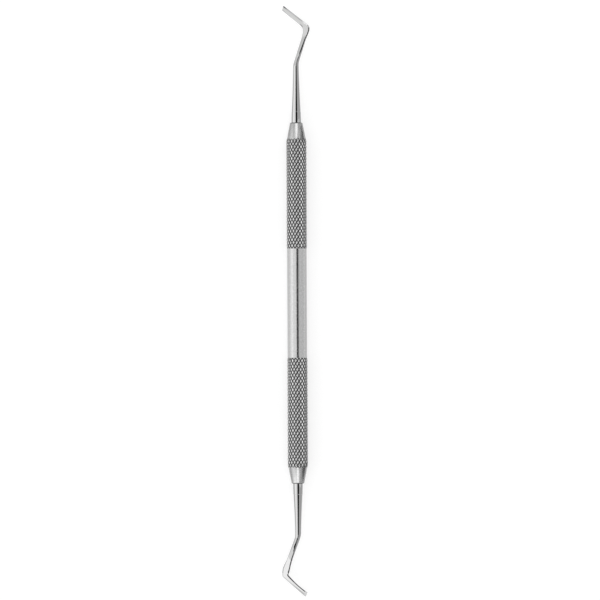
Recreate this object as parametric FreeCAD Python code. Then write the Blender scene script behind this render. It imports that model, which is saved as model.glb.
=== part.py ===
import FreeCAD, Part
import math
import os

# Double-ended cavity preparation instrument (gingival margin trimmer), in mm and degrees.
# The handle's axis is Y, through the origin at the middle of its plain grip. The bend plane
# of both ends is XY, and the instrument lies on a row of its knurl's tops, with +Z up.

# Handle: a turned bar with a plain middle, two knurled grips and a cone at each end
handle_length = 105.6
plain_diameter = 5.8
plain_length = 32.0
nose_diameter = 3.75
nose_rounding = 0.2
cone_half_angle = 11.0

# Diamond knurl: crossed grooves whose cut metal stands a little above the plain bar
knurl_starts = 18
knurl_pitch = 1.667
knurl_raise = 0.1
knurl_depth = 0.26
runout_step = 0.02

# Bore and tang, which hold a working end in the handle
tang_diameter = 2.4
tang_length = 10.0
tang_chamfer = 0.3
tang_clearance = 0.02
bore_extra_depth = 0.5
drill_point_half_angle = 59.0

# Shank, the same on both ends: a slightly tapered collar, then a hollow taper to a thin neck
collar_base_diameter = 2.9
collar_end_diameter = 2.7
collar_length = 3.2
collar_step = 0.06
neck_straight = 0.4
neck_diameter = 1.72
bend_radius = 6.0
blade_thickness = 0.9
blade_curve_radius = 13.5
blade_root_dip = 8.0
bevel_angle = 28.0
flats_end = 2.6
plate_start_width = 1.0
leg_overlap = 1.0

# Upper working end: lengths run between the points where its centre lines cross
upper_bend_height = 17.3
upper_lean = 17.8
upper_leg_length = 11.1
upper_leg_end_diameter = 1.22
upper_plate_start = 4.2
upper_elbow_width = 1.9
upper_blade_angle = 51.8
upper_blade_length = 9.15
upper_blade_root_width = 1.55
upper_blade_tip_width = 1.3
upper_inner_hollow = 0.0
upper_inner_radius = 2.4
upper_leg_setback = 1.6
upper_blade_setback = 1.6
upper_elbow_bulge = 0.5
upper_edge_slant = 18.0

# Lower working end: the opposite hand, with its elbow ground to a facet
lower_bend_height = 15.4
lower_lean = 20.0
lower_leg_length = 12.05
lower_leg_end_diameter = 1.4
lower_plate_start = 5.5
lower_elbow_width = 2.4
lower_blade_angle = 48.2
lower_blade_length = 8.75
lower_blade_root_width = 1.5
lower_blade_tip_width = 1.5
lower_inner_hollow = 0.3
lower_inner_radius = 0.4
lower_leg_setback = 2.1
lower_blade_setback = 1.0
lower_elbow_bulge = 0.16
lower_edge_slant = 13.0

# Sizes that follow from those above
nose_y = handle_length / 2
knurl_inner_y = plain_length / 2
crest_radius = plain_diameter / 2 + knurl_raise
root_radius = crest_radius - knurl_depth
cone_base_radius = root_radius + runout_step
cone_slope = math.tan(math.radians(cone_half_angle))
cone_base_y = nose_y - (cone_base_radius - nose_diameter / 2) / cone_slope
knurl_columns = 2 * round(knurl_starts)
knurl_rows = 2 * max(1, round((cone_base_y - knurl_inner_y) / knurl_pitch))
knurl_row_step = (cone_base_y - knurl_inner_y) / knurl_rows

axis_y = FreeCAD.Vector(0, 1, 0)
axis_z = FreeCAD.Vector(0, 0, 1)
centre = FreeCAD.Vector(0, 0, 0)


def on_ring(radius, column, y):
    """A knurl point; column 0 faces down."""
    angle = 2 * math.pi * column / knurl_columns
    return FreeCAD.Vector(radius * math.sin(angle), y, -radius * math.cos(angle))


def knurl_radius(row, column, y):
    """Pyramid tops stand where row and column are both even or both odd, up to the turned cone."""
    is_top = (row + column) % 2 == 0 and 0 < row < knurl_rows
    cone_radius = cone_base_radius + (cone_base_y - y) * cone_slope
    return min(crest_radius, cone_radius) if is_top else root_radius


def knurl_band():
    """A closed solid of flat triangles: each groove crossing and pyramid top is one point."""
    rings = []
    for row in range(knurl_rows + 1):
        y = knurl_inner_y + row * knurl_row_step
        rings.append([on_ring(knurl_radius(row, column, y), column, y) for column in range(knurl_columns)])
    faces = [Part.Face(Part.makePolygon(ring + ring[:1])) for ring in (rings[0], rings[-1])]
    for row in range(knurl_rows):
        for column in range(knurl_columns):
            ahead = (column + 1) % knurl_columns
            low, low_ahead = rings[row][column], rings[row][ahead]
            high, high_ahead = rings[row + 1][column], rings[row + 1][ahead]
            if (row + column) % 2 == 0:
                triangles = (low, low_ahead, high), (high, low_ahead, high_ahead)
            else:
                triangles = (low, low_ahead, high_ahead), (low, high_ahead, high)
            faces += [Part.Face(Part.makePolygon([a, b, c, a])) for a, b, c in triangles]
    shell = Part.makeShell(faces)
    shell.sewShape()
    return Part.makeSolid(shell)


def corner_arc(corner, before, after, radius):
    """Start, middle and end of an arc that rounds a corner between two neighbouring points."""
    to_before = (before - corner).normalize()
    to_after = (after - corner).normalize()
    half = to_before.getAngle(to_after) / 2
    inward = (to_before + to_after).normalize()
    reach = radius / math.tan(half)
    middle = corner + inward * (radius / math.sin(half) - radius)
    return corner + to_before * reach, middle, corner + to_after * reach


def line(start, end):
    return Part.LineSegment(start, end).toShape()


def arc(start, middle, end):
    return Part.Arc(start, middle, end).toShape()


def revolved(edges):
    """Turn a closed outline in the XY plane about the Y axis."""
    return Part.Face(Part.Wire(edges)).revolve(centre, axis_y, 360)


def nose_cone():
    """The turned cone past the knurl, ending in a flat nose with a rounded rim."""
    base_centre = FreeCAD.Vector(0, cone_base_y, 0)
    base_rim = FreeCAD.Vector(cone_base_radius, cone_base_y, 0)
    nose_rim = FreeCAD.Vector(nose_diameter / 2, nose_y, 0)
    nose_centre = FreeCAD.Vector(0, nose_y, 0)
    start, middle, end = corner_arc(nose_rim, base_rim, nose_centre, nose_rounding)
    return revolved([line(base_centre, base_rim), line(base_rim, start), arc(start, middle, end),
                     line(end, nose_centre), line(nose_centre, base_centre)])


def bore():
    """The drilled hole for a tang, from the nose inwards, with its drill point."""
    radius = tang_diameter / 2 + tang_clearance
    floor_y = nose_y - tang_length - bore_extra_depth
    point_y = floor_y - radius / math.tan(math.radians(drill_point_half_angle))
    points = [(0, point_y), (radius, floor_y), (radius, nose_y), (0, nose_y), (0, point_y)]
    return Part.Face(Part.makePolygon([FreeCAD.Vector(x, y, 0) for x, y in points])).revolve(
        centre, axis_y, 360)


def turned_end_for_end(shape):
    """A copy for the handle's other end."""
    copy = shape.copy()
    copy.rotate(centre, axis_z, 180)
    return copy


def make_handle():
    """Knurl and cones meet the plain middle face to face and fuse to one bar."""
    middle = Part.makeCylinder(plain_diameter / 2, plain_length, FreeCAD.Vector(0, -knurl_inner_y, 0), axis_y)
    grip = knurl_band()
    cone = nose_cone().cut(bore())
    bar = middle.multiFuse([grip, cone])
    hollow = bore()
    return bar.multiFuse([turned_end_for_end(grip), turned_end_for_end(cone)]).cut(
        Part.makeCompound([hollow, turned_end_for_end(hollow)]))


def make_shank(bend_start):
    """Tang, collar and hollow taper: everything round and straight, up to the bend."""
    tang = tang_diameter / 2
    collar_y = nose_y + collar_length
    taper_start = collar_end_diameter / 2 - collar_step
    taper_y = bend_start - neck_straight
    neck = neck_diameter / 2
    points = [FreeCAD.Vector(x, y, 0) for x, y in (
        (0, nose_y - tang_length), (tang - tang_chamfer, nose_y - tang_length),
        (tang, nose_y - tang_length + tang_chamfer), (tang, nose_y), (collar_base_diameter / 2, nose_y),
        (collar_end_diameter / 2, collar_y - collar_step), (taper_start, collar_y))]
    neck_start = FreeCAD.Vector(neck, taper_y, 0)
    neck_end = FreeCAD.Vector(neck, bend_start, 0)
    top = FreeCAD.Vector(0, bend_start, 0)
    taper = Part.BezierCurve()
    taper.setPoles([points[-1], FreeCAD.Vector(neck, (collar_y + taper_y) / 2, 0), neck_start])
    edges = [line(a, b) for a, b in zip(points, points[1:])]
    edges += [taper.toShape(), line(neck_start, neck_end), line(neck_end, top), line(top, points[0])]
    return revolved(edges)


def leg_frame(bend_y, lean, leg_length):
    """The elbow's place, and unit vectors back along the leg and across it to the outer side."""
    lean = math.radians(lean)
    back = FreeCAD.Vector(-math.sin(lean), -math.cos(lean), 0)
    outer = FreeCAD.Vector(math.cos(lean), -math.sin(lean), 0)
    elbow = FreeCAD.Vector(0, bend_y, 0) - back * leg_length
    return elbow, back, outer


def blade_frame(blade_angle):
    """Unit vectors along the blade to its tip and across it to the outer side."""
    blade_angle = math.radians(blade_angle)
    along = FreeCAD.Vector(-math.sin(blade_angle), math.cos(blade_angle), 0)
    outer = FreeCAD.Vector(math.cos(blade_angle), math.sin(blade_angle), 0)
    return along, outer


def make_leg(elbow, back, outer, leg_length, end_diameter):
    """A round leg that tapers to the elbow, with two flats ground on it that close in on the blade."""
    start = elbow + back * leg_length
    cone = Part.makeCone(neck_diameter / 2, end_diameter / 2, leg_length - leg_overlap, start, back * -1)
    half_blade = blade_thickness / 2
    half_neck = neck_diameter / 2
    profile = [(leg_length, -half_neck), (flats_end, -half_blade), (0, -half_blade),
               (0, half_blade), (flats_end, half_blade), (leg_length, half_neck), (leg_length, -half_neck)]
    points = [elbow + back * u + axis_z * z - outer * neck_diameter for u, z in profile]
    wedge = Part.Face(Part.makePolygon(points)).extrude(outer * (2 * neck_diameter))
    return cone.common(wedge)


def line_crossing(point, direction, other, other_direction):
    """Where two lines in the XY plane cross."""
    turn = direction.cross(other_direction).z
    return point + direction * ((other - point).cross(other_direction).z / turn)


def make_outline(elbow, back, leg_outer, along, blade_outer, end):
    """The flat outline of elbow and blade, drawn past the tip, which the bevel then cuts to length."""
    slant = math.tan(math.radians(end["edge_slant"]))
    half_start = plate_start_width / 2
    half_elbow = end["elbow_width"] / 2
    half_root = end["blade_root_width"] / 2
    half_tip = end["blade_tip_width"] / 2
    overrun = end["blade_length"] + blade_thickness

    def leg_side(side):
        return elbow + back * end["plate_start"] + leg_outer * (side * half_start), elbow + leg_outer * (side * half_elbow)

    def blade_side(side):
        return (elbow + blade_outer * (side * half_root),
                elbow + along * (overrun + side * half_tip * slant) + blade_outer * (side * half_tip))

    def crossing(side):
        start, leg_end = leg_side(side)
        root, tip = blade_side(side)
        return line_crossing(start, leg_end - start, root, tip - root)

    outer_start, inner_start = leg_side(1)[0], leg_side(-1)[0]
    outer_tip, inner_tip = blade_side(1)[1], blade_side(-1)[1]
    outer_corner, inner_corner = crossing(1), crossing(-1)
    leg_facet = outer_corner + (outer_start - outer_corner).normalize() * end["leg_setback"]
    blade_facet = outer_corner + (outer_tip - outer_corner).normalize() * end["blade_setback"]
    facet_middle = (leg_facet + blade_facet) * 0.5
    facet_crown = facet_middle + (outer_corner - facet_middle).normalize() * end["elbow_bulge"]
    inner_leg, inner_middle, inner_blade = corner_arc(inner_corner, inner_start, inner_tip, end["inner_radius"])
    inner_edge = line(inner_blade, inner_tip)
    if end["inner_hollow"] > 0:
        hollow = (inner_blade + inner_tip) * 0.5 + blade_outer * end["inner_hollow"]
        inner_edge = arc(inner_blade, hollow, inner_tip)
    return Part.Wire([line(outer_start, leg_facet), arc(leg_facet, facet_crown, blade_facet),
                      line(blade_facet, outer_tip), line(outer_tip, inner_tip), inner_edge,
                      arc(inner_blade, inner_middle, inner_leg), line(inner_leg, inner_start),
                      line(inner_start, outer_start)])


def curve_height(distance, radius):
    """How high a face of the curved blade stands at a distance from the elbow, and its slope."""
    dip = math.radians(blade_root_dip)
    middle_x = blade_curve_radius * math.sin(dip)
    middle_z = blade_curve_radius * math.cos(dip)
    angle = math.asin((distance - middle_x) / radius)
    return middle_z - radius * math.cos(angle), angle


def make_side_profile(elbow, back, along, hand, end):
    """Edge-on section: flat at the elbow, then one arc that dips and rises out of the bend plane."""
    half = blade_thickness / 2
    flat_end = back.dot(along) * end["plate_start"] - neck_diameter
    root = math.radians(-blade_root_dip)
    reach = end["blade_length"] + 2 * blade_thickness
    arcs = []
    for radius in (blade_curve_radius - half, blade_curve_radius + half):
        root_point = (-blade_curve_radius * math.sin(root) + radius * math.sin(root),
                      blade_curve_radius * math.cos(root) - radius * math.cos(root))
        middle_point = (reach / 2, curve_height(reach / 2, radius)[0])
        arcs.append([root_point, middle_point, (reach, curve_height(reach, radius)[0])])
    (inner_root, inner_middle, inner_end), (outer_root, outer_middle, outer_end) = [
        [elbow + along * s + axis_z * (hand * z) for s, z in points] for points in arcs]
    flat_inner = elbow + along * flat_end + axis_z * (hand * half)
    flat_outer = elbow + along * flat_end - axis_z * (hand * half)
    return Part.Wire([line(flat_inner, inner_root), arc(inner_root, inner_middle, inner_end),
                      line(inner_end, outer_end), arc(outer_end, outer_middle, outer_root),
                      line(outer_root, flat_outer), line(flat_outer, flat_inner)])


def make_bevel(elbow, along, blade_outer, hand, end):
    """The ground-away side of the bevel: its face runs back from the edge on the hollow face."""
    slant = math.tan(math.radians(end["edge_slant"]))
    radius = blade_curve_radius - blade_thickness / 2
    edge_points = []
    for side in (1, -1):
        across = side * end["blade_tip_width"] / 2
        distance = end["blade_length"] + across * slant
        height, slope = curve_height(distance, radius)
        edge_points.append(elbow + along * distance + blade_outer * across + axis_z * (hand * height))
    edge = (edge_points[0] - edge_points[1]).normalize()
    steep = slope + math.radians(bevel_angle)
    down = (along * -math.cos(steep) - axis_z * (hand * math.sin(steep))).normalize()
    reach = 2 * end["blade_tip_width"]
    middle = (edge_points[0] + edge_points[1]) * 0.5
    corners = [middle + edge * (across * reach) + down * (depth * reach)
               for across, depth in ((1, -1), (1, 1), (-1, 1), (-1, -1))]
    outward = edge.cross(down).normalize()
    if outward.dot(along) < 0:
        outward = outward * -1
    return Part.Face(Part.makePolygon(corners + corners[:1])).extrude(outward * reach)


def make_blade(elbow, back, leg_outer, hand, end):
    """Elbow and blade: the flat outline through the curved thickness, less the bevel."""
    along, blade_outer = blade_frame(end["blade_angle"])
    span = neck_diameter + end["blade_length"]
    outline = Part.Face(make_outline(elbow, back, leg_outer, along, blade_outer, end))
    outline.translate(axis_z * -span)
    plate = outline.extrude(axis_z * (2 * span))
    profile = Part.Face(make_side_profile(elbow, back, along, hand, end))
    profile.translate(blade_outer * -span)
    strip = profile.extrude(blade_outer * (2 * span))
    return plate.common(strip).cut(make_bevel(elbow, along, blade_outer, hand, end))


def make_working_end(end, hand):
    """One forged piece; hand is 1 where the tip rises to +Z and -1 where it drops."""
    bend_y = nose_y + end["bend_height"]
    lean = math.radians(end["lean"])
    tangent = bend_radius * math.tan(lean / 2)
    bend_start = bend_y - tangent
    bend_centre = FreeCAD.Vector(bend_radius, bend_start, 0)
    shank = make_shank(bend_start)
    section = Part.Face(Part.Wire(Part.makeCircle(
        neck_diameter / 2, FreeCAD.Vector(0, bend_start, 0), axis_y)))
    bend = section.revolve(bend_centre, axis_z * -1, end["lean"])
    elbow, back, leg_outer = leg_frame(bend_y, end["lean"], end["leg_length"])
    leg = make_leg(elbow, back, leg_outer, end["leg_length"] - tangent, end["leg_end_diameter"])
    blade = make_blade(elbow, back, leg_outer, hand, end)
    return shank.multiFuse([bend, leg, blade]).removeSplitter()


upper_end = {
    "bend_height": upper_bend_height, "lean": upper_lean, "leg_length": upper_leg_length,
    "leg_end_diameter": upper_leg_end_diameter, "plate_start": upper_plate_start, "elbow_width": upper_elbow_width,
    "blade_angle": upper_blade_angle, "blade_length": upper_blade_length,
    "blade_root_width": upper_blade_root_width, "blade_tip_width": upper_blade_tip_width,
    "inner_hollow": upper_inner_hollow, "inner_radius": upper_inner_radius,
    "leg_setback": upper_leg_setback, "blade_setback": upper_blade_setback,
    "elbow_bulge": upper_elbow_bulge, "edge_slant": upper_edge_slant}
lower_end = {
    "bend_height": lower_bend_height, "lean": lower_lean, "leg_length": lower_leg_length,
    "leg_end_diameter": lower_leg_end_diameter, "plate_start": lower_plate_start, "elbow_width": lower_elbow_width,
    "blade_angle": lower_blade_angle, "blade_length": lower_blade_length,
    "blade_root_width": lower_blade_root_width, "blade_tip_width": lower_blade_tip_width,
    "inner_hollow": lower_inner_hollow, "inner_radius": lower_inner_radius,
    "leg_setback": lower_leg_setback, "blade_setback": lower_blade_setback,
    "elbow_bulge": lower_elbow_bulge, "edge_slant": lower_edge_slant}

os.makedirs("parts", exist_ok=True)
parts = {
    "handle": make_handle(),
    "upper_working_end": make_working_end(upper_end, 1),
    "lower_working_end": turned_end_for_end(make_working_end(lower_end, -1))}
for name, shape in parts.items():
    shape.exportStep("parts/" + name + ".step")
    box = shape.BoundBox
    print(name, shape.isValid(), len(shape.Solids), "solid,", len(shape.Faces), "faces,",
          "volume %.2f mm3," % shape.Volume,
          "X %.3f to %.3f, Y %.3f to %.3f, Z %.3f to %.3f" % (
              box.XMin, box.XMax, box.YMin, box.YMax, box.ZMin, box.ZMax))
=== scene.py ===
import math

import bmesh
import bpy
from mathutils import Matrix, Vector


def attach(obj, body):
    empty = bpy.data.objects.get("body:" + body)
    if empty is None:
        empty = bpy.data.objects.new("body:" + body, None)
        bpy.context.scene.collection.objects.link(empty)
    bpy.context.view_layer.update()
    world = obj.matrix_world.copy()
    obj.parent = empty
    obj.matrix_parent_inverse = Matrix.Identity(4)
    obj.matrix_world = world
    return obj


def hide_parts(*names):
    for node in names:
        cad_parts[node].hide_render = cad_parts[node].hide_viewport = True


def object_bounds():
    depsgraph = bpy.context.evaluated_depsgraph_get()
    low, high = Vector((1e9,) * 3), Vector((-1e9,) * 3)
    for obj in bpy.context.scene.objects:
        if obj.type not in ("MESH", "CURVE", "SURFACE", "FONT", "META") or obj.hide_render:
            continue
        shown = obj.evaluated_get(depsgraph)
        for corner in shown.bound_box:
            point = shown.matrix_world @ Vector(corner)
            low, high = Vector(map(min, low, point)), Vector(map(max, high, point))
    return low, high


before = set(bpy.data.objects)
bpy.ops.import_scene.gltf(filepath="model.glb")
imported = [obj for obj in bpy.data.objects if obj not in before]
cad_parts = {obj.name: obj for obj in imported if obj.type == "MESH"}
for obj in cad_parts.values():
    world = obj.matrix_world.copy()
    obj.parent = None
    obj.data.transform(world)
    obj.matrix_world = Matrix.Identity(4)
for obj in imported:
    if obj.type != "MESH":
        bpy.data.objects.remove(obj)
cadLow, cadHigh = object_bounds()
mm = 0.001
print("frame loaded")


# sRGB hex to the linear colour that shaders take
def linearColour(text):
    parts = [int(text[i:i + 2], 16) / 255 for i in (1, 3, 5)]
    return [c / 12.92 if c <= 0.04045 else ((c + 0.055) / 1.055) ** 2.4 for c in parts] + [1.0]


# One node with its settings and links. An input is a value, a socket, or a node, which gives its first
# output. A kind in capitals, such as ADD, is that operation of a Math node
def addNode(tree, kind, inputs=(), **settings):
    if kind.isupper():
        kind, settings = "ShaderNodeMath", {"operation": kind}
    node = tree.nodes.new(kind)
    for name, value in settings.items():
        setattr(node, name, value)
    for socket, value in inputs.items() if isinstance(inputs, dict) else enumerate(inputs):
        if isinstance(value, bpy.types.Node):
            value = value.outputs[0]
        if isinstance(value, bpy.types.NodeSocket):
            tree.links.new(value, node.inputs[socket])
        else:
            node.inputs[socket].default_value = value
    return node


# 0 below the first span and 1 above it, eased between; a second span takes it back to 0
def fade(tree, value, up, down=None):
    share = addNode(tree, "ShaderNodeMapRange", {"Value": value, "From Min": up[0], "From Max": up[1]},
                    interpolation_type="SMOOTHSTEP")
    if down is None:
        return share
    return addNode(tree, "MULTIPLY", (share, addNode(tree, "SUBTRACT", (1.0, fade(tree, value, down)))))


# The span, in metres, that reaches soft mm to both sides of a place in mm
def around(place, soft):
    return (place - soft) * mm, (place + soft) * mm


# Distance from the handle's axis
def fromAxis(tree, axes):
    squares = [addNode(tree, "MULTIPLY", (axes[i], axes[i])) for i in (0, 2)]
    return addNode(tree, "SQRT", [addNode(tree, "ADD", squares)])


# Metal finishes, sizes in mm

turnedFinish = {
    "colour": "#cdcdcd",
    "roughness": 0.2,
    "turningLine": 0.12,
    "turningRun": 16.667,
    "turningDepth": 0.0012,
    "grain": 0.4,
    "grainDepth": 0.0016,
    "grainSpan": (0.3, 0.7),
    "grainColour": "#c4c4c4",
    "wear": 4.0,
    "wearDetail": 4.0,
    "wearRoughness": 0.08,
    # the dark groove colour is painted shade in the knurl grooves, with some grime
    "grooveGrimeAndShadeColour": "#1a1a1a",
    "grooveRoughness": 0.3,
    "grooveTone": (2.775, 2.9),
    "grooveEnds": 0.02,
    "coneSurface": (-0.04, -0.01),
    # the seam colour is a painted shadow line at each nose rim
    "rimShadowColour": "#747474",
    "seamWidth": 0.2,
    "seamSoft": 0.03}

groundFinish = {
    "colour": "#cacaca",
    "roughness": 0.06,
    "lineLength": 3.0,
    "lineWidth": 0.06,
    "lineDepth": 0.0005,
    "wear": 2.0,
    "wearDetail": 3.0,
    "wearRoughness": 0.06}


def newMaterial(name):
    material = bpy.data.materials.new(name)
    material.use_nodes = True
    material.node_tree.nodes.clear()
    return material, material.node_tree


# Roughness that handling has made a little uneven, in clouds about wear mm across
def wornRoughness(tree, s, place, roughness):
    wear = addNode(tree, "ShaderNodeTexNoise", {
        "Vector": place, "Scale": 1 / (s["wear"] * mm), "Detail": s["wearDetail"]})
    change = addNode(tree, "MULTIPLY", (addNode(tree, "SUBTRACT", (wear, 0.5)), s["wearRoughness"]))
    return addNode(tree, "ADD", (roughness, change))


# Bare metal with a fine relief, whose height times distance is in metres
def finishMetal(tree, colour, roughness, height, distance):
    relief = addNode(tree, "ShaderNodeBump", {"Height": height, "Distance": distance, "Strength": 1.0})
    shader = addNode(tree, "ShaderNodeBsdfPrincipled", {
        "Base Color": colour, "Metallic": 1.0, "Roughness": roughness, "Normal": relief})
    addNode(tree, "ShaderNodeOutputMaterial", {"Surface": shader})


# 1 in the grooves, where shade and some grime are painted and the metal is duller: low on the bar, between
# the ends of a knurl band, and not on the turned cone
def grooveMask(tree, s, axes, along):
    radius = fromAxis(tree, axes)
    drop = addNode(tree, "MULTIPLY", (along, coneSlope))
    cone = addNode(tree, "SUBTRACT", ((coneRadius + coneBase * coneSlope) * mm, drop))
    onCone = fade(tree, addNode(tree, "SUBTRACT", (radius, cone)), [edge * mm for edge in s["coneSurface"]])
    top = fade(tree, radius, [edge * mm for edge in s["grooveTone"]])
    top = addNode(tree, "MAXIMUM", (top, onCone))
    inBand = fade(tree, along, around(bandStart, s["grooveEnds"]), around(coneBase, s["grooveEnds"]))
    return addNode(tree, "MULTIPLY", (inBand, addNode(tree, "SUBTRACT", (1.0, top))))


# Satin turned stainless steel: fine lathe lines round the bar, duller metal in the knurl grooves, darkened
# there by painted shade and some grime
def makeTurnedSteel(s):
    material, tree = newMaterial("satinTurnedStainlessSteel")
    place = addNode(tree, "ShaderNodeTexCoord").outputs["Object"]
    axes = addNode(tree, "ShaderNodeSeparateXYZ", (place,)).outputs
    along = addNode(tree, "ABSOLUTE", (axes[1],))
    # one lathe line each turningLine mm, which changes slowly, over turningRun mm, round the bar
    run = 1 / (s["turningRun"] * mm)
    lines = addNode(tree, "ShaderNodeMapping", {
        "Vector": place, "Scale": (run, 1 / (s["turningLine"] * mm), run)})
    cut = addNode(tree, "ShaderNodeTexNoise", {"Vector": lines, "Scale": 1.0, "Detail": 3.0})
    # one grey patch each grain mm: the real grain is finer, and is drawn this coarse so that it shows
    grain = addNode(tree, "ShaderNodeTexNoise", {
        "Vector": place, "Scale": 1 / (s["grain"] * mm), "Detail": 1.0})
    groove = grooveMask(tree, s, axes, along)
    # a painted shadow line at the rim where a working end is seated
    rimShadowMask = fade(tree, along, around(nose - s["seamWidth"], s["seamSoft"]))
    colour = linearColour(s["colour"])
    # grain is the metal's own tone; the groove colour is painted shade with some grime, and the rim line is a
    # painted shadow
    for mask, tone in ((fade(tree, grain, s["grainSpan"]), "grainColour"), (groove, "grooveGrimeAndShadeColour"),
                       (rimShadowMask, "rimShadowColour")):
        colour = addNode(tree, "ShaderNodeMix", {
            "Factor": mask, 6: colour, 7: linearColour(s[tone])}, data_type="RGBA").outputs[2]
    dull = addNode(tree, "ShaderNodeMix", {"Factor": groove, 2: s["roughness"], 3: s["grooveRoughness"]})
    cutHeight = addNode(tree, "MULTIPLY", (cut, s["turningDepth"] * mm))
    grainHeight = addNode(tree, "MULTIPLY", (grain, s["grainDepth"] * mm))
    height = addNode(tree, "ADD", (cutHeight, grainHeight))
    finishMetal(tree, colour, wornRoughness(tree, s, place, dull), height, 1.0)
    return material


# Fine ground and polished stainless steel: polishing lines that follow the shank and blade
def makeGroundSteel(s):
    material, tree = newMaterial("groundPolishedStainlessSteel")
    place = addNode(tree, "ShaderNodeTexCoord").outputs["Object"]
    flow = addNode(tree, "ShaderNodeAttribute", attribute_name="flow").outputs["Vector"]
    # flow holds mm across, along and over the strip
    lines = addNode(tree, "ShaderNodeMapping", {
        "Vector": flow, "Scale": (1 / s["lineWidth"], 1 / s["lineLength"], 1 / s["lineWidth"])})
    cut = addNode(tree, "ShaderNodeTexNoise", {"Vector": lines, "Scale": 1.0, "Detail": 2.0})
    rough = wornRoughness(tree, s, place, s["roughness"])
    finishMetal(tree, linearColour(s["colour"]), rough, cut, s["lineDepth"] * mm)
    return material


# Handle, sizes in mm

handle = {
    "length": 105.6,
    "plain": 32.0,
    "plainRadius": 2.9,
    "edgeBreak": 0.05,
    "crestRadius": 3.0,
    "grooveRadius": 2.74,
    "runoutStep": 0.02,
    "noseRadius": 1.875,
    "noseRounding": 0.35,
    "rimSteps": 6,
    "coneAngle": 11.0,
    "boreRadius": 1.22,
    "boreDepth": 10.5,
    "boreChamfer": 0.05,
    "drillPointHalf": 59.0,
    "drillTip": 0.02,
    "starts": 18,
    "pitch": 1.667,
    "cells": 8,
    "flatTop": 0.14,
    "patternMerge": 0.002,
    "sharpFrom": 22.0}

nose = handle["length"] / 2
coneSlope = math.tan(math.radians(handle["coneAngle"]))
coneRadius = handle["grooveRadius"] + handle["runoutStep"]
coneBase = nose - (coneRadius - handle["noseRadius"]) / coneSlope
bandStart = handle["plain"] / 2
pitches = round((coneBase - bandStart) / handle["pitch"])
segments = handle["starts"] * handle["cells"]

# Vertices closer than mergeDistance become one, and edges shorter than shortEdge are closed
mergeDistance = 0.0005
shortEdge = 0.0002


# Height of the pyramid pattern along one diagonal: 1 on the tops, 0 in the grooves
def zigzag(tree, value):
    return addNode(tree, "ABSOLUTE", [addNode(tree, "SUBTRACT", (1.0, addNode(tree, "ABSOLUTE", (value,))))])


# One diamond, on a square patch from -1 to 1, bent to the bar
def addDiamond(tree, given, axes):
    corners = addNode(tree, "ADD", (given["Cells"], 1.0))
    patch = addNode(tree, "GeometryNodeMeshGrid", {
        "Size X": 2.0, "Size Y": 2.0, "Vertices X": corners, "Vertices Y": corners})
    diagonals = [zigzag(tree, addNode(tree, sign, (axes[0], axes[1]))) for sign in ("ADD", "SUBTRACT")]
    flank = addNode(tree, "SUBTRACT", (1.0, given["Flat Top"]))
    height = addNode(tree, "DIVIDE", (addNode(tree, "MINIMUM", diagonals), flank))
    height = addNode(tree, "MINIMUM", (1.0, height))
    depth = addNode(tree, "SUBTRACT", (given["Crest Radius"], given["Groove Radius"]))
    radius = addNode(tree, "MULTIPLY_ADD", (height, depth, given["Groove Radius"]))
    angle = addNode(tree, "DIVIDE", (addNode(tree, "MULTIPLY", (axes[0], math.pi)), given["Starts"]))
    across = addNode(tree, "MULTIPLY", (radius, addNode(tree, "SINE", (angle,))))
    along = addNode(tree, "MULTIPLY", (axes[1], addNode(tree, "DIVIDE", (given["Pitch"], 2.0))))
    down = addNode(tree, "MULTIPLY", (radius, addNode(tree, "COSINE", (angle,))))
    bent = addNode(tree, "ShaderNodeCombineXYZ", (across, along, addNode(tree, "MULTIPLY", (down, -1.0))))
    return addNode(tree, "GeometryNodeSetPosition", {"Geometry": patch, "Position": bent})


# Real copies of a shape, one on each point, each turned by an angle about one axis
def addCopies(tree, points, shape, axis, angle):
    turn = addNode(tree, "ShaderNodeCombineXYZ", {axis: angle})
    turn = addNode(tree, "FunctionNodeEulerToRotation", (turn,))
    copies = addNode(tree, "GeometryNodeInstanceOnPoints", {
        "Points": points, "Instance": shape, "Rotation": turn})
    return addNode(tree, "GeometryNodeRealizeInstances", {"Geometry": copies})


# A band of diamonds: one row of them round the bar for each pitch
def addBand(tree, given, diamond):
    index = addNode(tree, "GeometryNodeInputIndex")
    row = addNode(tree, "FLOOR", [addNode(tree, "DIVIDE", (index, given["Starts"]))])
    column = addNode(tree, "MODULO", (index, given["Starts"]))
    spots = addNode(tree, "GeometryNodeMeshLine", {
        "Count": addNode(tree, "MULTIPLY", (given["Starts"], given["Pitches"])), "Offset": (0, 0, 0)})
    along = addNode(tree, "ADD", (row, 0.5))
    along = addNode(tree, "MULTIPLY_ADD", (along, given["Pitch"], given["Band Start"]))
    spots = addNode(tree, "GeometryNodeSetPosition", {
        "Geometry": spots, "Position": addNode(tree, "ShaderNodeCombineXYZ", {1: along})})
    angle = addNode(tree, "MULTIPLY", (addNode(tree, "ADD", (column, 0.5)), 2 * math.pi))
    return addCopies(tree, spots, diamond, 1, addNode(tree, "DIVIDE", (angle, given["Starts"])))


# The turned cone and the step at the plain middle cut the diamonds back
def cutBack(tree, given, axes, band):
    out = fromAxis(tree, axes)
    fromBase = addNode(tree, "SUBTRACT", (given["Cone Base"], axes[1]))
    coneLimit = addNode(tree, "MULTIPLY_ADD", (fromBase, given["Cone Slope"], given["Cone Radius"]))
    fromStart = addNode(tree, "SUBTRACT", (axes[1], given["Band Start"]))
    startLimit = addNode(tree, "ADD", (fromStart, given["Start Radius"]))
    limit = addNode(tree, "MINIMUM", (out, addNode(tree, "MINIMUM", (coneLimit, startLimit))))
    share = addNode(tree, "DIVIDE", (limit, out))
    x, z = [addNode(tree, "MULTIPLY", (axes[i], share)) for i in (0, 2)]
    place = addNode(tree, "ShaderNodeCombineXYZ", (x, axes[1], z))
    return addNode(tree, "GeometryNodeSetPosition", {"Geometry": band, "Position": place})


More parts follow.
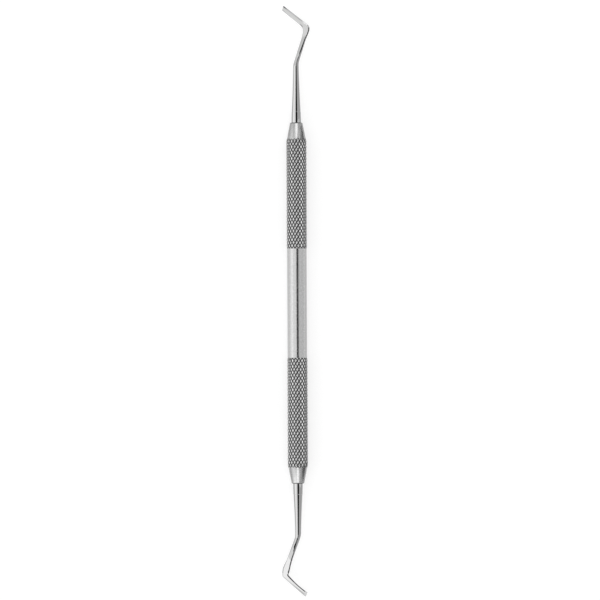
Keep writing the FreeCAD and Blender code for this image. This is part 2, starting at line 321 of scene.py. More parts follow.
# Both knurl bands; every value becomes an input of the tree, under its own name
def makeKnurlTree(values):
    tree = bpy.data.node_groups.new("diamondKnurl", "GeometryNodeTree")
    identifiers = {}
    for name, value in values.items():
        kind = {int: "Int", float: "Float"}.get(type(value), "Material")
        socket = tree.interface.new_socket(name, in_out="INPUT", socket_type="NodeSocket" + kind)
        identifiers[name] = socket.identifier
    tree.interface.new_socket("Geometry", in_out="OUTPUT", socket_type="NodeSocketGeometry")
    given = addNode(tree, "NodeGroupInput").outputs
    axes = addNode(tree, "ShaderNodeSeparateXYZ", (addNode(tree, "GeometryNodeInputPosition"),)).outputs
    band = addBand(tree, given, addDiamond(tree, given, axes))
    band = addNode(tree, "GeometryNodeMergeByDistance", {
        "Geometry": band, "Distance": given["Merge Distance"]})
    band = cutBack(tree, given, axes, band)
    # the second band is the first one turned end for end
    ends = addNode(tree, "GeometryNodeMeshLine", {"Count": 2, "Offset": (0, 0, 0)})
    halfTurns = addNode(tree, "MULTIPLY", (addNode(tree, "GeometryNodeInputIndex"), math.pi))
    both = addCopies(tree, ends, band, 2, halfTurns)
    both = addNode(tree, "GeometryNodeSetMaterial", {"Geometry": both, "Material": given["Material"]})
    addNode(tree, "NodeGroupOutput", {"Geometry": both})
    return tree, identifiers


# The two bands as a plain mesh
def makeKnurlMesh(material):
    values = {
        "Starts": handle["starts"],
        "Pitches": pitches,
        "Cells": handle["cells"],
        "Pitch": (coneBase - bandStart) / pitches * mm,
        "Groove Radius": handle["grooveRadius"] * mm,
        "Crest Radius": handle["crestRadius"] * mm,
        "Flat Top": handle["flatTop"],
        "Band Start": bandStart * mm,
        "Start Radius": (handle["plainRadius"] - handle["edgeBreak"]) * mm,
        "Cone Base": coneBase * mm,
        "Cone Radius": coneRadius * mm,
        "Cone Slope": coneSlope,
        "Merge Distance": handle["patternMerge"] * mm,
        "Material": material}
    tree, identifiers = makeKnurlTree(values)
    holder = bpy.data.objects.new("knurlBands", bpy.data.meshes.new("knurlBands"))
    bpy.context.scene.collection.objects.link(holder)
    modifier = holder.modifiers.new("Knurl", "NODES")
    modifier.node_group = tree
    for name, value in values.items():
        modifier[identifiers[name]] = value
    evaluated = holder.evaluated_get(bpy.context.evaluated_depsgraph_get())
    mesh = bpy.data.meshes.new_from_object(evaluated)
    bpy.data.objects.remove(holder)
    return mesh


def ringOf(bm, radius, y):
    turns = [2 * math.pi * i / segments for i in range(segments)]
    return [bm.verts.new((radius * mm * math.sin(a), y * mm, -radius * mm * math.cos(a))) for a in turns]


# The ring of vertices that ends a knurl band at y, in the same order as ringOf
def bandEdge(bm, y):
    found = {}
    for vertex in bm.verts:
        if vertex.is_boundary and abs(vertex.co.y - y * mm) < handle["runoutStep"] / 2 * mm:
            turn = math.atan2(vertex.co.x, -vertex.co.z) / (2 * math.pi) * segments
            found[round(turn) % segments] = vertex
    return [found[i] for i in range(segments)]


# Faces between each ring and the next
def bridge(bm, rings):
    for first, second in zip(rings, rings[1:]):
        for i in range(len(first)):
            j = (i + 1) % len(first)
            bm.faces.new((first[i], first[j], second[j], second[i]))


# Points of a rounded corner between two straight lines, as (radius, y)
def roundedCorner(before, corner, after, radius, steps):
    a, c, b = Vector(before), Vector(corner), Vector(after)
    toA, toB = (a - c).normalized(), (b - c).normalized()
    half = toA.angle(toB) / 2
    start, end = c + toA * (radius / math.tan(half)), c + toB * (radius / math.tan(half))
    middle = c + (toA + toB).normalized() * (radius / math.sin(half))
    startAngle = math.atan2(start.y - middle.y, start.x - middle.x)
    endAngle = math.atan2(end.y - middle.y, end.x - middle.x)
    angles = [mixed(startAngle, endAngle, i / steps) for i in range(steps + 1)]
    return [(middle.x + radius * math.cos(angle), middle.y + radius * math.sin(angle)) for angle in angles]


# A closed mesh with sharp edges from an angle of limit degrees on, as an object of the scene
def finishMesh(bm, name, material, limit):
    bmesh.ops.remove_doubles(bm, verts=bm.verts, dist=mergeDistance * mm)
    bmesh.ops.dissolve_degenerate(bm, edges=bm.edges, dist=shortEdge * mm)
    bmesh.ops.recalc_face_normals(bm, faces=bm.faces)
    for face in bm.faces:
        face.smooth = True
    for edge in bm.edges:
        edge.smooth = len(edge.link_faces) == 2 and edge.calc_face_angle(0) < math.radians(limit)
    mesh = bpy.data.meshes.new(name)
    bm.to_mesh(mesh)
    bm.free()
    mesh.materials.clear()
    mesh.materials.append(material)
    obj = bpy.data.objects.new(name, mesh)
    bpy.context.scene.collection.objects.link(obj)
    return obj


# Plain middle, two knurl bands, and at each end a cone, a rounded nose and a drilled bore
def makeHandle(material):
    s = handle
    bm = bmesh.new()
    bm.from_mesh(makeKnurlMesh(material))
    edges = {y: bandEdge(bm, y) for y in (-coneBase, -bandStart, bandStart, coneBase)}
    broken, full, step = s["plainRadius"] - s["edgeBreak"], s["plainRadius"], s["edgeBreak"]
    middle = [ringOf(bm, radius, y) for radius, y in (
        (broken, -bandStart), (full, -bandStart + step), (full, bandStart - step), (broken, bandStart))]
    bridge(bm, [edges[-bandStart]] + middle + [edges[bandStart]])
    base, rim = (coneRadius, coneBase), (s["noseRadius"], nose)
    floor = nose - s["boreDepth"]
    point = floor - s["boreRadius"] / math.tan(math.radians(s["drillPointHalf"]))
    profile = [base] + roundedCorner(base, rim, (0, nose), s["noseRounding"], s["rimSteps"]) + [
        (s["boreRadius"] + s["boreChamfer"], nose), (s["boreRadius"], nose - s["boreChamfer"]),
        (s["boreRadius"], floor), (s["drillTip"], point)]
    for side in (1, -1):
        rings = [ringOf(bm, radius, side * y) for radius, y in profile]
        bridge(bm, [edges[side * coneBase]] + rings)
        bm.faces.new(rings[-1])
    return finishMesh(bm, "knurledHandle", material, s["sharpFrom"])


# Working ends: one strip of rings from the tang to the bevelled tip, sizes in mm, angles in degrees.
# A pace says how fast a form comes in along the leg: at 3 it is whole after a third of the leg

shank = {
    "tangRadius": 1.2,
    "tangLength": 10.0,
    "tangChamfer": 0.3,
    "collarBase": 1.45,
    "collarEnd": 1.38,
    "collarLength": 3.2,
    "collarStep": 0.05,
    "collarChamfer": 0.05,
    "taperPower": 1.28,
    "neckStraight": 0.4,
    "bendRadius": 6.0,
    "halfThickness": 0.45,
    "curveRadius": 13.5,
    "curveFade": 0.7,
    "rootDip": 8.0,
    "bevel": 28.0,
    "bevelReach": 2.0,
    "halvings": 40,
    "flatsEnd": 2.6,
    "legOverlap": 1.0,
    "legBlend": 0.1,
    "legTrim": 0.02,
    "twistPace": 3.0,
    "facetPace": 3.5,
    "bandFrom": 0.5,
    "closeFrom": 0.75,
    "taperRings": 24,
    "bendRings": 12,
    "legRings": 24,
    "elbowRings": 16,
    "bladeRings": 30,
    "cornerSteps": 10,
    "sharpFrom": 12.0}

upperEnd = {
    "hand": 1, "neckRadius": 0.83, "bendHeight": 17.3, "lean": 17.8,
    "legLength": 11.1, "legRadius": 0.7, "legEndRadius": 0.62, "legCorner": 0.18, "flattening": 1.8,
    "plateStart": 4.2, "plateStartHalf": 0.5, "elbowHalf": 0.95,
    "innerRadius": 2.4, "legSetback": 1.6, "bladeSetback": 1.6, "bulge": 0.5,
    "bladeAngle": 51.8, "bladeLength": 9.15, "rootHalf": 0.775, "tipHalf": 0.65,
    "hollow": 0.0, "slant": 18.0, "corner": 0.12,
    "legTwist": 8.0, "elbowTwist": 6.0, "bladeTwist": 4.0,
    "facetSide": 1, "facetAngle": 14.5, "facetOnLeg": 0.64, "facetWidth": 0.38, "facetAtTip": 0.42,
    "bandAngle": 20.0, "bandTipAngle": 20.0, "bandAtRoot": 0.0, "bandAtTip": 0.0}

lowerEnd = {
    "hand": -1, "neckRadius": 0.89, "bendHeight": 15.4, "lean": 20.0,
    "legLength": 12.05, "legRadius": 0.79, "legEndRadius": 0.73, "legCorner": 0.2, "flattening": 1.1,
    "plateStart": 5.5, "plateStartHalf": 0.68, "elbowHalf": 1.2,
    "innerRadius": 0.4, "legSetback": 2.1, "bladeSetback": 1.0, "bulge": 0.16,
    "bladeAngle": 48.2, "bladeLength": 8.75, "rootHalf": 0.75, "tipHalf": 0.75,
    "hollow": 0.3, "slant": 13.0, "corner": 0.12,
    "legTwist": 7.0, "elbowTwist": 5.0, "bladeTwist": 5.0,
    "facetSide": -1, "facetAngle": 15.0, "facetOnLeg": 0.42, "facetWidth": 0.42, "facetAtTip": 0.4,
    "bandAngle": 45.0, "bandTipAngle": 22.0, "bandAtRoot": 0.3, "bandAtTip": 0.7}


def mixed(a, b, share):
    return a + (b - a) * share


def ease(value):
    value = min(1.0, max(0.0, value))
    return value * value * (3 - 2 * value)


# Cross product of two flat vectors
def cross2(a, b):
    return a.x * b.y - a.y * b.x


# Where a line meets another one, each given by a point and a direction
def crossing(point, direction, other, otherDirection):
    return point + direction * (cross2(other - point, otherDirection) / cross2(direction, otherDirection))


# A point on the smooth curve from start through middle to end
def through(start, middle, end, share):
    control = middle * 2 - (start + end) / 2
    return start.lerp(control, share).lerp(control.lerp(end, share), share)


# Height of the strip's centre over the bend plane at a distance s from the elbow
def stripHeight(s):
    dip = math.radians(shank["rootDip"])
    radius, fadeIn = shank["curveRadius"], shank["curveFade"]
    angle = math.asin(max(-1.0, min(1.0, s / radius - math.sin(dip))))
    return radius * (math.cos(dip) - math.cos(angle)) * ease((s + fadeIn) / (2 * fadeIn))


# Outline, frames and thickness of one end, as functions of the place along it
class EndForm:
    def __init__(self, end):
        self.end = end
        lean, turn = math.radians(end["lean"]), math.radians(end["bladeAngle"])
        bendTop = nose + end["bendHeight"]
        self.tangent = shank["bendRadius"] * math.tan(lean / 2)
        self.bendStart = bendTop - self.tangent
        self.back = Vector((-math.sin(lean), -math.cos(lean)))
        self.legOuter = Vector((math.cos(lean), -math.sin(lean)))
        self.elbow = Vector((0, bendTop)) - self.back * end["legLength"]
        self.along = Vector((-math.sin(turn), math.cos(turn)))
        self.bladeOuter = Vector((math.cos(turn), math.sin(turn)))
        self.slant = math.tan(math.radians(end["slant"]))
        self.overrun = end["bladeLength"] + 2 * shank["halfThickness"]
        self.makeElbow()
        self.makeBevel()

    # A flat facet with a bulging crown on the outer corner, and a fillet in the inner one
    def makeElbow(self):
        end = self.end
        outer, inner = self.corner(1), self.corner(-1)
        self.outerLeg = outer + (self.legSide(1) - outer).normalized() * end["legSetback"]
        self.outerBlade = outer + (self.tipSide(1) - outer).normalized() * end["bladeSetback"]
        facet = (self.outerLeg + self.outerBlade) / 2
        self.crown = facet + (outer - facet).normalized() * end["bulge"]
        self.innerTip = self.tipSide(-1)
        toLeg, toBlade = (self.legSide(-1) - inner).normalized(), (self.innerTip - inner).normalized()
        half, radius = toLeg.angle(toBlade) / 2, end["innerRadius"]
        self.innerLeg = inner + toLeg * (radius / math.tan(half))
        self.innerBlade = inner + toBlade * (radius / math.tan(half))
        self.innerMiddle = inner + (toLeg + toBlade).normalized() * (radius / math.sin(half) - radius)
        self.rootOuter = (self.outerBlade - self.elbow).dot(self.along)
        self.rootInner = (self.innerBlade - self.elbow).dot(self.along)

    def legSide(self, side):
        start = self.elbow + self.back * self.end["plateStart"]
        return start + self.legOuter * (side * self.end["plateStartHalf"])

    def tipSide(self, side):
        half = side * self.end["tipHalf"]
        return self.elbow + self.along * (self.overrun + half * self.slant) + self.bladeOuter * half

    def corner(self, side):
        legEnd = self.elbow + self.legOuter * (side * self.end["elbowHalf"])
        root = self.elbow + self.bladeOuter * (side * self.end["rootHalf"])
        start, tip = self.legSide(side), self.tipSide(side)
        return crossing(start, legEnd - start, root, tip - root)

    # In-plane distance of a blade edge from the blade's centre line
    def bladeEdge(self, side, s):
        half = self.end["tipHalf"]
        share = s / (self.overrun + side * half * self.slant)
        offset = side * mixed(self.end["rootHalf"], half, share)
        if side < 0 and self.end["hollow"]:
            share = (s - self.rootInner) / ((self.innerTip - self.elbow).dot(self.along) - self.rootInner)
            offset += 4 * self.end["hollow"] * share * (1 - share)
        return offset

    # Half the leg's width: the wider of its round cone and its flat plate, blended where they cross
    def legHalf(self, distance):
        end = self.end
        straight = end["legLength"] - self.tangent
        share = min(1.0, (straight - distance) / (straight - shank["legOverlap"]))
        cone = mixed(end["legRadius"], end["legEndRadius"], share)
        plate = mixed(end["elbowHalf"], end["plateStartHalf"], distance / end["plateStart"])
        return (cone + plate + math.hypot(cone - plate, shank["legBlend"])) / 2 - shank["legTrim"]

    # A point of the bend plane, raised by height through the curved strip, as x, y, z
    def lift(self, point, height):
        s, step = (point - self.elbow).dot(self.along), 0.01
        before, after = stripHeight(s - step), stripHeight(s + step)
        slope = math.atan2(after - before, 2 * step)
        base = point - self.along * (math.sin(slope) * height)
        z = (before + after) / 2 + math.cos(slope) * height
        return Vector((base.x, base.y, self.end["hand"] * z))

    # The plane of the cutting edge's bevel, through the slanted edge on the blade's concave face
    def makeBevel(self):
        hand = self.end["hand"]
        dip, radius = math.radians(shank["rootDip"]), shank["curveRadius"] - shank["halfThickness"]
        points = []
        for side in (1, -1):
            across = side * self.end["tipHalf"]
            distance = self.end["bladeLength"] + across * self.slant
            slope = math.asin((distance - shank["curveRadius"] * math.sin(dip)) / radius)
            height = shank["curveRadius"] * math.cos(dip) - radius * math.cos(slope)
            flat = self.elbow + self.along * distance + self.bladeOuter * across
            points.append(Vector((flat.x, flat.y, hand * height)))
        # the bevel's angle counts from the blade's slope at the inner end of the edge
        steep = slope + math.radians(shank["bevel"])
        back = self.along * -math.cos(steep)
        down = Vector((back.x, back.y, -hand * math.sin(steep)))
        self.bevelMiddle = (points[0] + points[1]) / 2
        self.bevelOut = (points[0] - points[1]).cross(down).normalized()
        if self.bevelOut.dot(self.along.to_3d()) < 0:
            self.bevelOut = -self.bevelOut

    # A blade point at distance s, at a share of the width from the inner to the outer edge
    def bladePoint(self, s, share, height):
        across = mixed(self.bladeEdge(-1, s), self.bladeEdge(1, s), share)
        return self.lift(self.elbow + self.along * s + self.bladeOuter * across, height)

    # Distance at which a line of the strip meets the bevel, found by halving
    def bevelDistance(self, share, height):
        low, high = 0.5 * self.end["bladeLength"], self.end["bladeLength"] + shank["bevelReach"]
        for _ in range(shank["halvings"]):
            middle = (low + high) / 2
            if (self.bladePoint(middle, share, height) - self.bevelMiddle).dot(self.bevelOut) < 0:
                low = middle
            else:
                high = middle
        return low


# Rounded rectangle as (across, height), its upper face ground to a facet along either long edge
def sectionPoints(end, halfWidth, halfHeight, corner, facet, band, bandAngle):
    steps, hand, side = shank["cornerSteps"], end["hand"], end["facetSide"]
    corner = min(corner, halfWidth, halfHeight)
    outer, inner = (facet, band) if side > 0 else (band, facet)
    ridges = (halfWidth - max(outer, corner), max(inner, corner) - halfWidth)
    points = []
    for k, (sx, sy) in enumerate(((1, 1), (-1, 1), (-1, -1), (1, -1))):
        for i in range(steps + 1):
            angle = math.pi / 2 * (k + i / steps)
            points.append((sx * (halfWidth - corner) + corner * math.cos(angle),
                           sy * (halfHeight - corner) + corner * math.sin(angle)))
        if k in (0, 2):
            start, stop = ridges[k // 2], ridges[1 - k // 2]
            points += [(mixed(start, stop, f), sy * halfHeight) for f in (0, 0.33, 0.67, 1)]
    slope, bandSlope = [math.tan(math.radians(angle)) for angle in (end["facetAngle"], bandAngle)]
    ground = []
    for w, h in points:
        if h * hand > 0:
            h -= hand * slope * max(0.0, side * w - halfWidth + facet)
            h -= hand * bandSlope * max(0.0, -side * w - halfWidth + band)
        ground.append((w, h))
    return ground


# The rings of one working end, with the distance travelled along it
class Strip:
    def __init__(self, end):
        self.end, self.form = end, EndForm(end)
        self.bm = bmesh.new()
        self.flow = self.bm.verts.layers.float_vector.new("flow")
        self.rings = []
        self.travelled, self.middle = 0.0, None

    def addVertex(self, place, across, height):
        vertex = self.bm.verts.new(place * mm)
        vertex[self.flow] = (across, self.travelled, height)
        return vertex

    def advance(self, middle):
        if self.middle is not None:
            self.travelled += (middle - self.middle).length
        self.middle = middle

    # A ring between two points of the outline, its section turned by twist degrees
    def addRing(self, outer, inner, halfHeight, corner, twist=0.0, facet=0.0, band=0.0):
        middle, across = (outer + inner) / 2, (outer - inner).normalized()
        self.advance(middle)
        cosine, sine = math.cos(math.radians(twist)), math.sin(math.radians(twist))
        section = sectionPoints(self.end, (outer - inner).length / 2, halfHeight, corner, facet, band,
                                self.end["bandAngle"])
        self.rings.append([self.addVertex(self.form.lift(
            middle + across * (w * cosine - h * sine), w * sine + h * cosine), w, h) for w, h in section])


# Tang, collar and hollow taper
def addShank(strip):
    s, end = shank, strip.end
    tangEnd, collarTop = nose - s["tangLength"], nose + s["collarLength"]
    taperTop = strip.form.bendStart - s["neckStraight"]
    taperRadius = s["collarEnd"] - s["collarStep"]
    straight = [(s["tangRadius"] - s["tangChamfer"], tangEnd), (s["tangRadius"], tangEnd + s["tangChamfer"]),
                (s["tangRadius"], nose), (s["collarBase"] - s["collarChamfer"], nose),
                (s["collarBase"], nose + s["collarChamfer"]), (s["collarEnd"], collarTop - s["collarStep"]),
                (taperRadius, collarTop)]
    for i in range(1, s["taperRings"] + 1):
        f = i / s["taperRings"]
        radius = mixed(end["neckRadius"], taperRadius, (1 - f) ** s["taperPower"])
        straight.append((radius, mixed(collarTop, taperTop, f)))
    for radius, y in straight:
        strip.addRing(Vector((radius, y)), Vector((-radius, y)), radius, radius)


# The bend leans the strip from the handle's axis to the leg's
def addBend(strip):
    s, end = shank, strip.end
    for i in range(s["bendRings"] + 1):
        f = i / s["bendRings"]
        angle = math.radians(end["lean"]) * f
        out = Vector((math.cos(angle), -math.sin(angle)))
        middle = Vector((s["bendRadius"], strip.form.bendStart)) - out * s["bendRadius"]
        radius = mixed(end["neckRadius"], end["legRadius"], ease(f))
        strip.addRing(middle + out * radius, middle - out * radius, radius, radius)


# The leg goes from round to flat, and closes on the elbow's outline at its end
def addLeg(strip):
    s, end, form = shank, strip.end, strip.form
    legStart = end["legLength"] - form.tangent
    outerLeg, innerLeg = form.outerLeg - form.elbow, form.innerLeg - form.elbow
    for i in range(1, s["legRings"] + 1):
        f = i / s["legRings"]
        outerAt = mixed(legStart, outerLeg.dot(form.back), f)
        innerAt = mixed(legStart, innerLeg.dot(form.back), f)
        close = ease((f - s["closeFrom"]) / (1 - s["closeFrom"]))
        outerHalf = mixed(form.legHalf(outerAt), outerLeg.dot(form.legOuter), close)
        innerHalf = mixed(form.legHalf(innerAt), -innerLeg.dot(form.legOuter), close)
        flat = min(1.0, (legStart - (outerAt + innerAt) / 2) / (legStart - s["flatsEnd"]))
        halfHeight = mixed(end["legRadius"], s["halfThickness"], flat)
        corner = mixed(halfHeight, end["legCorner"], ease(flat * end["flattening"]))
        twist = mixed(end["legTwist"], end["elbowTwist"], close) * ease(f * s["twistPace"])
        facet = mixed(end["facetOnLeg"], end["facetWidth"], ease(f)) * ease(f * s["facetPace"])
        band = end["bandAtRoot"] * ease((f - s["bandFrom"]) / (1 - s["bandFrom"]))
        strip.addRing(form.elbow + form.back * outerAt + form.legOuter * outerHalf,
                      form.elbow + form.back * innerAt - form.legOuter * innerHalf,
                      halfHeight, mixed(corner, end["corner"], close), twist, facet, band)


def addElbow(strip):
    s, end, form = shank, strip.end, strip.form
    for i in range(1, s["elbowRings"] + 1):
        f = i / s["elbowRings"]
        outer = through(form.outerLeg, form.crown, form.outerBlade, f)
        inner = through(form.innerLeg, form.innerMiddle, form.innerBlade, f)
        twist = mixed(end["elbowTwist"], end["bladeTwist"], ease(f))
        facet = mixed(end["facetWidth"], end["facetAtTip"], f / 2)
        strip.addRing(outer, inner, s["halfThickness"], end["corner"], twist, facet, end["bandAtRoot"])


# Each line of the blade runs on to the bevel, so that the last ring is the bevel's own outline
def addBlade(strip):
    s, end, form = shank, strip.end, strip.form
    rootMiddle = (form.rootInner + form.rootOuter) / 2
    rootHalf = (form.bladeEdge(1, form.rootOuter) - form.bladeEdge(-1, form.rootInner)) / 2
    shear = math.tan(math.radians(end["bladeTwist"]))
    for i in range(1, s["bladeRings"] + 1):
        f = i / s["bladeRings"]
        facet = mixed(end["facetWidth"], end["facetAtTip"], (1 + f) / 2)
        band = mixed(end["bandAtRoot"], end["bandAtTip"], f)
        bandAngle = mixed(end["bandAngle"], end["bandTipAngle"], f)
        strip.advance(form.elbow + form.along * mixed(rootMiddle, end["bladeLength"], f))
        ring = []
        for w, h in sectionPoints(end, rootHalf, s["halfThickness"], end["corner"], facet, band, bandAngle):
            share, height = (w / rootHalf + 1) / 2, h + w * shear
            start, stop = mixed(form.rootInner, form.rootOuter, share), form.bevelDistance(share, height)
            ring.append(strip.addVertex(form.bladePoint(mixed(start, stop, f), share, height), w, h))
        strip.rings.append(ring)


def makeWorkingEnd(name, end, turned, material):
    strip = Strip(end)
    for addPart in (addShank, addBend, addLeg, addElbow, addBlade):
        addPart(strip)
    bm = strip.bm
    bridge(bm, strip.rings)
    bm.faces.new(strip.rings[0])
    bm.faces.new(strip.rings[-1])
    if turned:
        bmesh.ops.rotate(bm, verts=bm.verts, cent=(0, 0, 0), matrix=Matrix.Rotation(math.pi, 3, "Z"))
    return finishMesh(bm, name, material, shank["sharpFrom"])


turnedSteel = makeTurnedSteel(turnedFinish)
groundSteel = makeGroundSteel(groundFinish)
print("materials made")

handlePiece = makeHandle(turnedSteel)
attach(handlePiece, "root")
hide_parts("handle")
print("handle made:", len(handlePiece.data.polygons), "faces")

for name, end, turned, node in (("upperEndPiece", upperEnd, False, "upper_working_end"),
                                ("lowerEndPiece", lowerEnd, True, "lower_working_end")):
    piece = makeWorkingEnd(name, end, turned, groundSteel)
    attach(piece, "root")
    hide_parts(node)
    print(name, "made:", len(piece.data.polygons), "faces")


# Studio. The surrounding light has levels by direction: side is in degrees from overhead to the right,
# away in degrees towards either end, and each level goes in and out over its spans

surroundings = {
    "left": 1.1,
    "right": 0.78,
    "rightFrom": (-2.0, 22.0),
    "leftBox": 1.4,
    "leftBoxSides": ((-80.0, -64.0), (-56.0, -40.0)),
    "coneShare": 0.74,
    "coneFrom": (6.0, 14.0),
    "far": 0.98,
    "farFrom": (21.0, 27.0),
    "farCorners": 0.46,
    "farCornerReach": 0.3,
    "farLift": 1.04,
    "farSlope": 0.12,
    "farEnds": 0.85,
    "farEndsFrom": (37.0, 43.0),
    "endLight": 1.75,
    "endLightSides": ((-27.0, -3.0), (5.0, 29.0)),
    "endLightAway": ((14.0, 22.0), (30.0, 38.0)),
    "rightCard": 0.03,
    "rightCardFrom": (0.74, 0.88),
    "rightCardAway": ((8.0, 14.0), (19.0, 25.0))}


# A level of light with others laid over it, each of them where its mask is 1
def layered(tree, light, layers):
    for mask, level in layers:
        light = addNode(tree, "ShaderNodeMix", {"Factor": mask, 2: light, 3: level})
    return light


# Soft boxes left and at both ends, two brighter corners, and a dark card far right
def makeWorld(s):
    world = bpy.data.worlds.new("softStudio")
    world.use_nodes = True
    tree = world.node_tree
    tree.nodes.clear()
    direction = addNode(tree, "ShaderNodeTexCoord").outputs["Generated"]
    axes = addNode(tree, "ShaderNodeSeparateXYZ", (direction,)).outputs
    side = addNode(tree, "DEGREES", [addNode(tree, "ARCTAN2", (axes[0], axes[2]))])
    away = addNode(tree, "DEGREES", [addNode(tree, "ARCSINE", [addNode(tree, "ABSOLUTE", (axes[1],))])])
    light = layered(tree, s["left"], [
        (fade(tree, side, s["rightFrom"]), s["right"]),
        (fade(tree, side, *s["leftBoxSides"]), s["leftBox"])])
    coneShare = layered(tree, 1.0, [(fade(tree, away, s["coneFrom"]), s["coneShare"])])
    light = addNode(tree, "MULTIPLY", (light, coneShare))
    corner = addNode(tree, "ShaderNodeMapRange", {
        "Value": addNode(tree, "MULTIPLY", (axes[0], axes[1])),
        "From Min": -s["farCornerReach"], "From Max": s["farCornerReach"],
        "To Min": s["far"] * (1 - s["farCorners"]), "To Max": s["far"] * (1 + s["farCorners"])})
    slope = addNode(tree, "MULTIPLY_ADD", (axes[0], -s["farSlope"], s["farLift"]))
    farLight = addNode(tree, "MULTIPLY", (corner, slope))
    endMasks = fade(tree, side, *s["endLightSides"]), fade(tree, away, *s["endLightAway"])
    cardMasks = fade(tree, axes[0], s["rightCardFrom"]), fade(tree, away, *s["rightCardAway"])
    light = layered(tree, light, [
        (fade(tree, away, s["farFrom"]), farLight),
        (fade(tree, away, s["farEndsFrom"]), s["farEnds"]),
        (addNode(tree, "MULTIPLY", endMasks), s["endLight"]),
        (addNode(tree, "MULTIPLY", cardMasks), s["rightCard"])])
    background = addNode(tree, "ShaderNodeBackground", {"Color": (1, 1, 1, 1), "Strength": light})
    addNode(tree, "ShaderNodeOutputWorld", {"Surface": background})
    bpy.context.scene.world = world


# Cards that only reflections show, at both ends, in mm from the middle of the handle. A tip card has its
# height, its brightness and its corners; these are in mm along and across the blade, from the elbow

cards = {
    "blackLight": 0.01,
    "blackHeight": 75.0,
    "blackLength": 79.0,
    "narrow": (-7.9, 23.0),
    "wideFrom": 53.0,
    "wide": (-20.0, 38.0),
    "legsFrom": 8.0,
    "legsReach": 92.0,
    "louvre": (15.0, 19.0),
    "upperTip": ((6.0, 1.08, ((-0.5, -1.8), (10, -1.8), (10, 1.8), (-0.5, 1.8))),
                 (6.0, 0.1, ((-8, 3.6), (0, 3.5), (0.5, 2.8), (1.3, 2.6), (1.3, 7), (-8, 7)))),
    "lowerTip": ((12.0, 1.42, ((-10, -1.8), (32, -1.8), (32, 8), (-10, 8))),
                 (12.0, 0.03, ((-2.5, -9), (34, -11), (34, -3.2), (-2.5, -3.2)))),
    "strip": (5.0, 60.0),
    "stripLift": 0.2,
    "stripEndsFrom": 49.7,
    "stripLights": ((-1, 0.9, 0.62), (1, 0.8, 0.56)),
    "darkLight": 0.03,
    "darkOutline": ((20.0, 50.0), (20.0, 61.0), (400.0, 200.0), (400.0, 100.0)),
    "wallLight": 0.55,
    "wallAt": 8.0,
    "wallEnd": 75.0,
    "wallHeights": (-2.8, 16.0)}


# A flat card of one brightness, given by its corners in mm; a louvre, in degrees, lets light pass that
# runs lengthwise
def makeCard(name, strength, corners, louvre=None):
    material, tree = newMaterial(name)
    surface = addNode(tree, "ShaderNodeEmission", {"Color": (1, 1, 1, 1), "Strength": strength})
    if louvre:
        incoming = addNode(tree, "ShaderNodeNewGeometry").outputs["Incoming"]
        lengthwise = addNode(tree, "ShaderNodeSeparateXYZ", (incoming,)).outputs[1]
        passing = fade(tree, addNode(tree, "ABSOLUTE", (lengthwise,)), [
            math.sin(math.radians(angle)) for angle in louvre])
        surface = addNode(tree, "ShaderNodeMixShader", (
            passing, surface, addNode(tree, "ShaderNodeBsdfTransparent")))
    addNode(tree, "ShaderNodeOutputMaterial", {"Surface": surface})
    mesh = bpy.data.meshes.new(name)
    mesh.from_pydata([Vector(corner) * mm for corner in corners], [], [range(len(corners))])
    mesh.materials.append(material)
    card = bpy.data.objects.new(name, mesh)
    card.visible_camera = card.visible_diffuse = card.visible_shadow = False
    bpy.context.scene.collection.objects.link(card)


# A dark card overhead: narrow over the handle, wide over the shank, and on one side over the leg
def makeOverheadCard(s, turn):
    wide, length, height = s["wideFrom"], s["blackLength"], s["blackHeight"]
    (low, high), (wideLow, wideHigh) = s["narrow"], s["wide"]
    outline = [(low, 0), (low, wide), (wideLow, wide), (wideLow, length), (s["legsFrom"], length),
               (s["legsFrom"], s["legsReach"]), (wideHigh, s["legsReach"]), (wideHigh, wide), (high, wide),
               (high, 0)]
    makeCard("blackCard", s["blackLight"], [(x, turn * y, height) for x, y in outline], s["louvre"])


# A light card and a dark one low over the blade
def makeTipCards(s, name, end, turn):
    form = EndForm(end)
    for height, light, outline in s[name]:
        over = [(form.elbow + form.along * place + form.bladeOuter * across) * turn
                for place, across in outline]
        makeCard(name + "Card", light, [(p.x, p.y, height) for p in over])


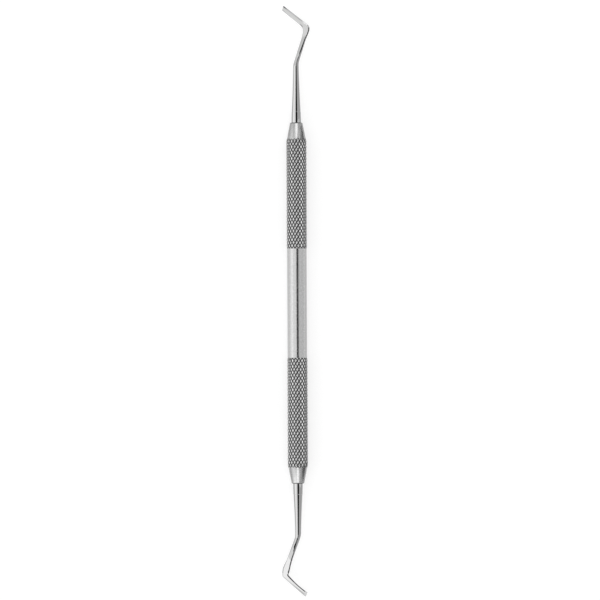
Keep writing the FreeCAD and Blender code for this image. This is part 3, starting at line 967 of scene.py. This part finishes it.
# Grey strips on the table to both sides, a darker one for the cone, and a grey wall right of the shank
def makeSideCards(s, turn):
    level = cadLow.z / mm + s["stripLift"]
    near, far = s["strip"]
    for side, light, endLight in s["stripLights"]:
        for strength, start, stop in ((light, 0, s["stripEndsFrom"]),
                                      (endLight, s["stripEndsFrom"], s["blackLength"])):
            makeCard("greyStrip", strength, [(side * x, turn * y, level) for x, y in (
                (near, start), (far, start), (far, stop), (near, stop))])
    above = level + s["stripLift"]
    makeCard("darkStrip", s["darkLight"], [(x, turn * y, above) for x, y in s["darkOutline"]])
    x, start, stop = s["wallAt"], turn * (nose + shank["collarLength"] / 2), turn * s["wallEnd"]
    bottom, top = s["wallHeights"]
    makeCard("greyWall", s["wallLight"], [
        (x, start, bottom), (x, stop, bottom), (x, stop, top), (x, start, top)])


# Table, its half size in metres

table = {
    "colour": "#b4b4b4",
    "glow": 0.62,
    "halfSize": 3.0}


# A pale table that glows a little, so that only a faint contact shadow shows
def makeTable(s):
    material, tree = newMaterial("paleTable")
    matt = addNode(tree, "ShaderNodeBsdfDiffuse", {"Color": linearColour(s["colour"])})
    glow = addNode(tree, "ShaderNodeEmission", {"Color": (1, 1, 1, 1), "Strength": s["glow"]})
    addNode(tree, "ShaderNodeOutputMaterial", {"Surface": addNode(tree, "ShaderNodeAddShader", (matt, glow))})
    half = s["halfSize"]
    mesh = bpy.data.meshes.new("table")
    mesh.from_pydata([(x * half, y * half, cadLow.z) for x, y in ((-1, -1), (1, -1), (1, 1), (-1, 1))],
                     [], [range(4)])
    mesh.materials.append(material)
    floor = bpy.data.objects.new("table", mesh)
    bpy.context.scene.collection.objects.link(floor)


# Straight down from far off; width is the view's width at the handle's axis, aim its middle, in mm
view = {"distance": 2000.0, "width": 175.62, "sensor": 36.0, "aimX": 0.855, "aimY": 0.904, "turn": 0.277}


def makeCamera(s):
    lens = bpy.data.cameras.new("camera")
    lens.sensor_width = s["sensor"]
    lens.lens = s["sensor"] * s["distance"] / s["width"]
    lens.clip_start, lens.clip_end = 0.1, 20.0
    camera = bpy.data.objects.new("camera", lens)
    camera.location = (s["aimX"] * mm, s["aimY"] * mm, s["distance"] * mm)
    camera.rotation_euler = (0, 0, math.radians(-s["turn"]))
    bpy.context.scene.collection.objects.link(camera)
    bpy.context.scene.camera = camera


makeWorld(surroundings)
for name, end, turn in (("upperTip", upperEnd, 1), ("lowerTip", lowerEnd, -1)):
    makeOverheadCard(cards, turn)
    makeTipCards(cards, name, end, turn)
    makeSideCards(cards, turn)
makeTable(table)
makeCamera(view)
bpy.context.scene.view_settings.view_transform = "Standard"
print("studio made")
